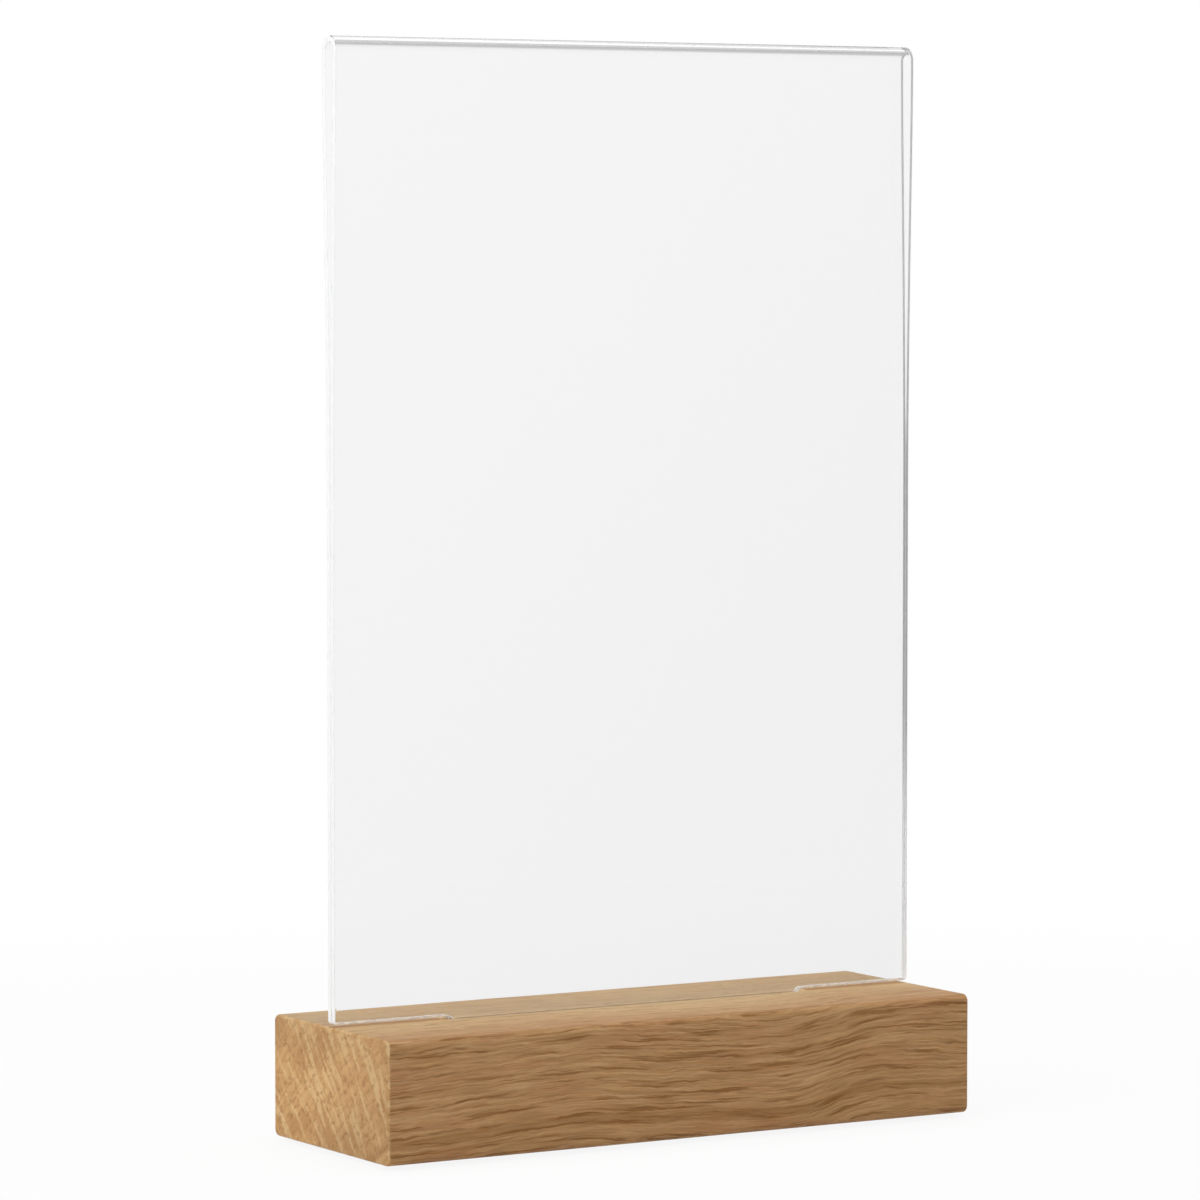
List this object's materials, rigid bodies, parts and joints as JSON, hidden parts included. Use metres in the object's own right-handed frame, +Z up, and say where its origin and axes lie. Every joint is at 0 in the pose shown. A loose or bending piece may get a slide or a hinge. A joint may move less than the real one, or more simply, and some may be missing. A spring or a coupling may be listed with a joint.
{
  "type": "tabletop sign holder",
  "caption": "Tabletop sign holder: a clear acrylic sleeve, folded over to hold an upright A5 sheet, whose tab stands in a slotted oak block.",
  "frame": {"origin": "on the table under the middle of the oak block", "axes": "+Z up, +X along the block's length to the right as seen from the front, the front face towards -Y"},
  "size_m": [0.15, 0.052, 0.242],
  "materials": {
    "oak": "oiled, satin",
    "clear_acrylic": "clear, polished edges",
    "rubber": "matte"
  },
  "bodies": {
    "base": {"oak_base": "oak", "foot_front_left": "rubber", "foot_front_right": "rubber", "foot_back_left": "rubber", "foot_back_right": "rubber"},
    "sleeve": {"acrylic_sleeve": "clear_acrylic"}
  },
  "joints": [
    {"name": "sleeve_lift", "type": "slide", "parent": "base", "child": "sleeve", "axis": [0, 0, 1], "range_m": [0, 0.0115]}
  ]
}
